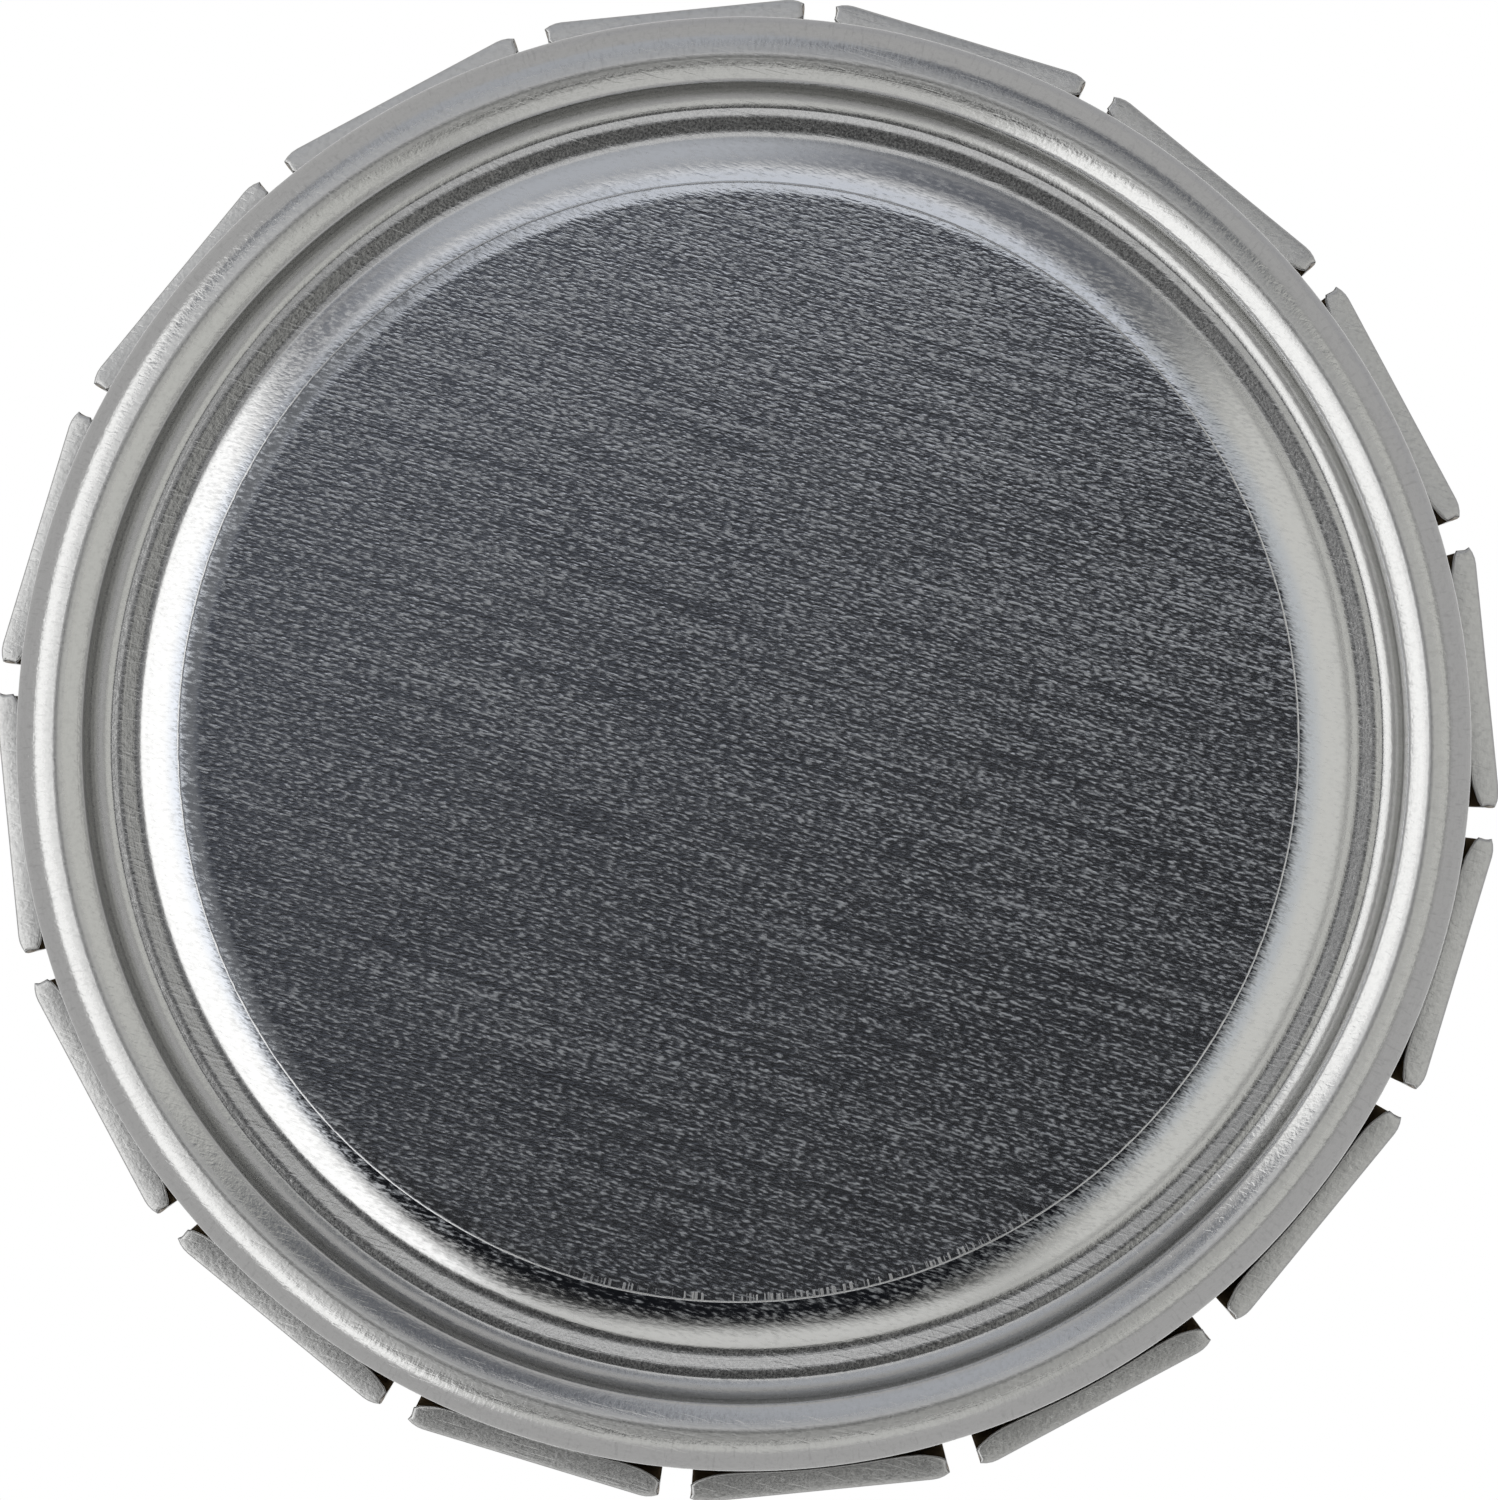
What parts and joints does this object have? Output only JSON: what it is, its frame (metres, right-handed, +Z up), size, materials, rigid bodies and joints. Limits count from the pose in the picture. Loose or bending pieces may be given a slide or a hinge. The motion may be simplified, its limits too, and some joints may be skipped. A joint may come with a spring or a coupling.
{
  "type": "mint tin",
  "caption": "Round bare tinplate mint tin with a domed press lid, slotted snap tabs with lips, a foot ring, a clear round label underneath and loose mints inside.",
  "frame": {"origin": "centre of the foot ring, on the plane that the tin stands on", "axes": "+Z up the tin's axis to the lid; +X through the middle of one tab and along the grain of the base"},
  "size_m": [0.0472, 0.0472, 0.016],
  "materials": {
    "tinplate": "satin",
    "label_film": "gloss",
    "mint": "matte"
  },
  "bodies": {
    "base": {"base_shell": "tinplate", "base_label": "label_film", "mints": "mint"},
    "lid": {"lid_rim": "tinplate", "lid_flex_ring": "tinplate"},
    "dome": {"lid_press_center": "tinplate"},
    "tab_01": {"lid_tab_01": "tinplate"},
    "tab_02": {"lid_tab_02": "tinplate"},
    "tab_03": {"lid_tab_03": "tinplate"},
    "tab_04": {"lid_tab_04": "tinplate"},
    "tab_05": {"lid_tab_05": "tinplate"},
    "tab_06": {"lid_tab_06": "tinplate"},
    "tab_07": {"lid_tab_07": "tinplate"},
    "tab_08": {"lid_tab_08": "tinplate"},
    "tab_09": {"lid_tab_09": "tinplate"},
    "tab_10": {"lid_tab_10": "tinplate"},
    "tab_11": {"lid_tab_11": "tinplate"},
    "tab_12": {"lid_tab_12": "tinplate"},
    "tab_13": {"lid_tab_13": "tinplate"},
    "tab_14": {"lid_tab_14": "tinplate"},
    "tab_15": {"lid_tab_15": "tinplate"},
    "tab_16": {"lid_tab_16": "tinplate"}
  },
  "joints": [
    {"name": "lid_lift", "type": "slide", "parent": "base", "child": "lid", "axis": [0, 0, 1], "range_m": [0, 0.03]},
    {"name": "dome_press", "type": "slide", "parent": "lid", "child": "dome", "axis": [0, 0, -1], "range_m": [0, 0.0037], "deforming": ["lid_flex_ring"]},
    {"name": "tab_01_flare", "type": "hinge", "parent": "lid", "child": "tab_01", "pos_m": [0.02288, 0, 0.01376], "axis": [0, -1, 0], "range_deg": [0, 6.5]},
    {"name": "tab_02_flare", "type": "hinge", "parent": "lid", "child": "tab_02", "pos_m": [0.02113, 0.00875, 0.01376], "axis": [0.3827, -0.9239, 0], "range_deg": [0, 6.5]},
    {"name": "tab_03_flare", "type": "hinge", "parent": "lid", "child": "tab_03", "pos_m": [0.01618, 0.01618, 0.01376], "axis": [0.7071, -0.7071, 0], "range_deg": [0, 6.5]},
    {"name": "tab_04_flare", "type": "hinge", "parent": "lid", "child": "tab_04", "pos_m": [0.00875, 0.02113, 0.01376], "axis": [0.9239, -0.3827, 0], "range_deg": [0, 6.5]},
    {"name": "tab_05_flare", "type": "hinge", "parent": "lid", "child": "tab_05", "pos_m": [0, 0.02288, 0.01376], "axis": [1, 0, 0], "range_deg": [0, 6.5]},
    {"name": "tab_06_flare", "type": "hinge", "parent": "lid", "child": "tab_06", "pos_m": [-0.00875, 0.02113, 0.01376], "axis": [0.9239, 0.3827, 0], "range_deg": [0, 6.5]},
    {"name": "tab_07_flare", "type": "hinge", "parent": "lid", "child": "tab_07", "pos_m": [-0.01618, 0.01618, 0.01376], "axis": [0.7071, 0.7071, 0], "range_deg": [0, 6.5]},
    {"name": "tab_08_flare", "type": "hinge", "parent": "lid", "child": "tab_08", "pos_m": [-0.02113, 0.00875, 0.01376], "axis": [0.3827, 0.9239, 0], "range_deg": [0, 6.5]},
    {"name": "tab_09_flare", "type": "hinge", "parent": "lid", "child": "tab_09", "pos_m": [-0.02288, 0, 0.01376], "axis": [0, 1, 0], "range_deg": [0, 6.5]},
    {"name": "tab_10_flare", "type": "hinge", "parent": "lid", "child": "tab_10", "pos_m": [-0.02113, -0.00875, 0.01376], "axis": [-0.3827, 0.9239, 0], "range_deg": [0, 6.5]},
    {"name": "tab_11_flare", "type": "hinge", "parent": "lid", "child": "tab_11", "pos_m": [-0.01618, -0.01618, 0.01376], "axis": [-0.7071, 0.7071, 0], "range_deg": [0, 6.5]},
    {"name": "tab_12_flare", "type": "hinge", "parent": "lid", "child": "tab_12", "pos_m": [-0.00875, -0.02113, 0.01376], "axis": [-0.9239, 0.3827, 0], "range_deg": [0, 6.5]},
    {"name": "tab_13_flare", "type": "hinge", "parent": "lid", "child": "tab_13", "pos_m": [0, -0.02288, 0.01376], "axis": [-1, 0, 0], "range_deg": [0, 6.5]},
    {"name": "tab_14_flare", "type": "hinge", "parent": "lid", "child": "tab_14", "pos_m": [0.00875, -0.02113, 0.01376], "axis": [-0.9239, -0.3827, 0], "range_deg": [0, 6.5]},
    {"name": "tab_15_flare", "type": "hinge", "parent": "lid", "child": "tab_15", "pos_m": [0.01618, -0.01618, 0.01376], "axis": [-0.7071, -0.7071, 0], "range_deg": [0, 6.5]},
    {"name": "tab_16_flare", "type": "hinge", "parent": "lid", "child": "tab_16", "pos_m": [0.02113, -0.00875, 0.01376], "axis": [-0.3827, -0.9239, 0], "range_deg": [0, 6.5]}
  ],
  "couplings": [
    {"joint": "tab_01_flare", "follows": "dome_press", "rad_per_m": 28.303},
    {"joint": "tab_02_flare", "follows": "dome_press", "rad_per_m": 28.303},
    {"joint": "tab_03_flare", "follows": "dome_press", "rad_per_m": 28.303},
    {"joint": "tab_04_flare", "follows": "dome_press", "rad_per_m": 28.303},
    {"joint": "tab_05_flare", "follows": "dome_press", "rad_per_m": 28.303},
    {"joint": "tab_06_flare", "follows": "dome_press", "rad_per_m": 28.303},
    {"joint": "tab_07_flare", "follows": "dome_press", "rad_per_m": 28.303},
    {"joint": "tab_08_flare", "follows": "dome_press", "rad_per_m": 28.303},
    {"joint": "tab_09_flare", "follows": "dome_press", "rad_per_m": 28.303},
    {"joint": "tab_10_flare", "follows": "dome_press", "rad_per_m": 28.303},
    {"joint": "tab_11_flare", "follows": "dome_press", "rad_per_m": 28.303},
    {"joint": "tab_12_flare", "follows": "dome_press", "rad_per_m": 28.303},
    {"joint": "tab_13_flare", "follows": "dome_press", "rad_per_m": 28.303},
    {"joint": "tab_14_flare", "follows": "dome_press", "rad_per_m": 28.303},
    {"joint": "tab_15_flare", "follows": "dome_press", "rad_per_m": 28.303},
    {"joint": "tab_16_flare", "follows": "dome_press", "rad_per_m": 28.303}
  ]
}
